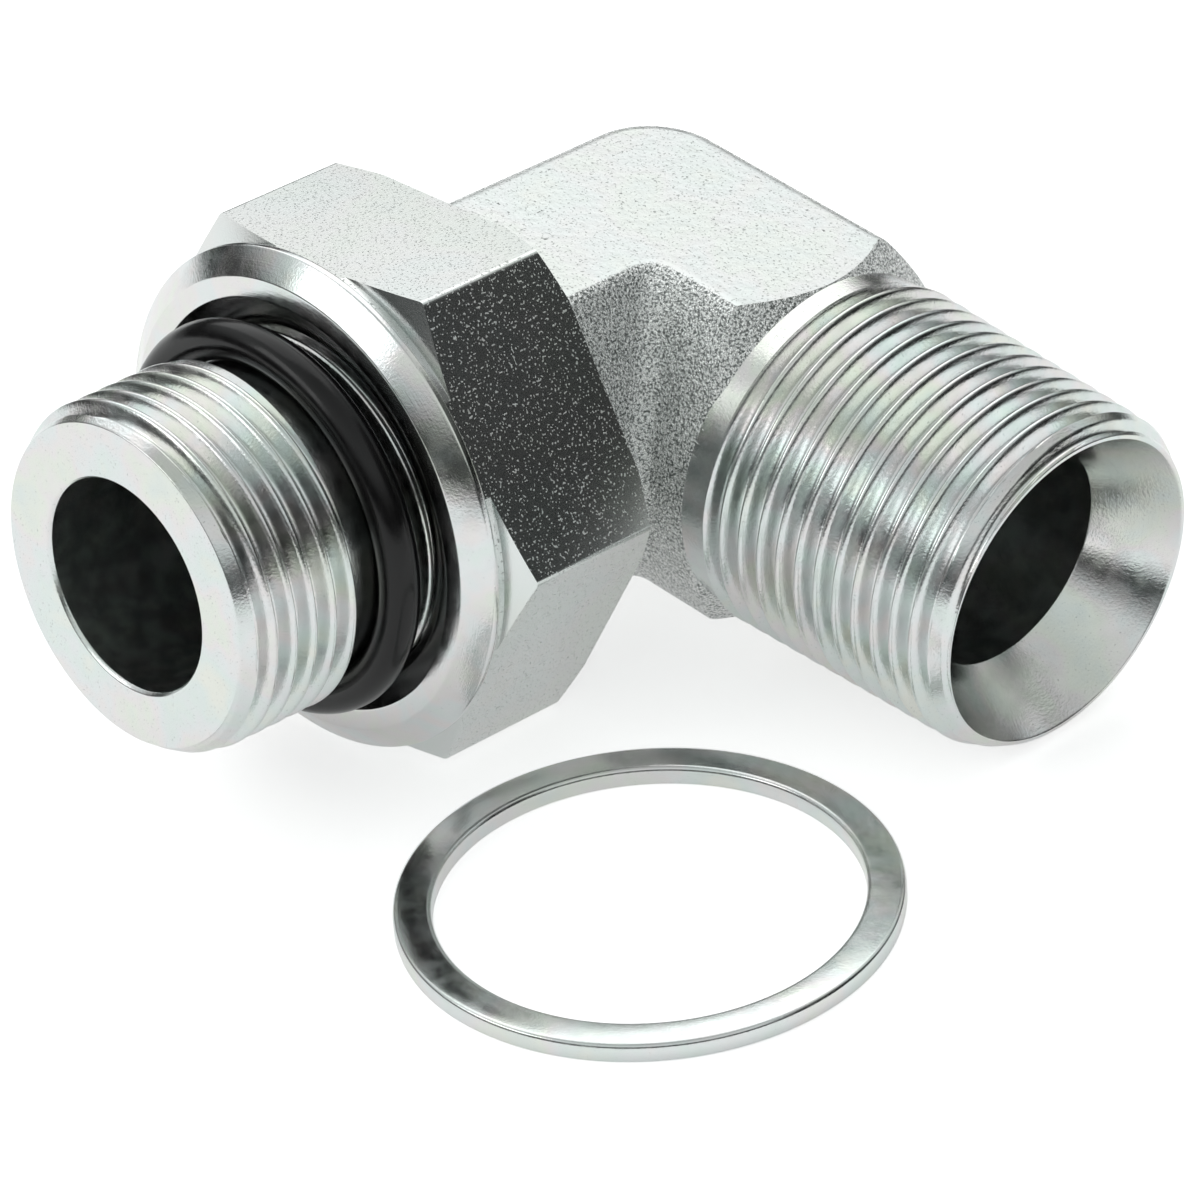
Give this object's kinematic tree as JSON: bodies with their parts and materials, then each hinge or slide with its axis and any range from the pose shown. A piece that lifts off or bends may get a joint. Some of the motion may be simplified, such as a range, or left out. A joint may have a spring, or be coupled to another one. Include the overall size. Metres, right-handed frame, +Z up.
{
  "type": "elbow fitting",
  "caption": "Forged steel 90 degree hydraulic elbow with an adjustable parallel-thread stud, lock nut, washer and seal ring, a taper pipe stud, and its loose retaining ring.",
  "frame": {"origin": "on the ground, below the middle of the bounding box of the fitting and its ring", "axes": "+Z up from the ground it lies on, +X along the taper stud as seen from above, -Y along the adjustable stud"},
  "size_m": [0.073, 0.0656, 0.0384],
  "materials": {
    "plated_forging": "bright zinc plate over shot-blasted and turned steel",
    "plated_bar": "bright zinc plate over turned steel",
    "seal_rubber": "black satin rubber"
  },
  "bodies": {
    "fitting": {"elbow_body": "plated_forging", "o_ring": "seal_rubber", "retaining_ring": "plated_bar"},
    "washer": {"backup_washer": "plated_bar"},
    "nut": {"lock_nut": "plated_bar"}
  },
  "joints": [
    {"name": "washer_slide", "type": "slide", "parent": "fitting", "child": "washer", "axis": [0.0068, -0.9976, 0.0695], "range_m": [-0.0008, 0.0016]},
    {"name": "nut_turn", "type": "hinge", "parent": "washer", "child": "nut", "pos_m": [-0.01557, 0.01901, 0.01711], "axis": [0.0068, -0.9976, 0.0695], "range_deg": [-159, 318]}
  ],
  "couplings": [
    {"joint": "nut_turn", "follows": "washer_slide", "rad_per_m": 3463.2}
  ]
}
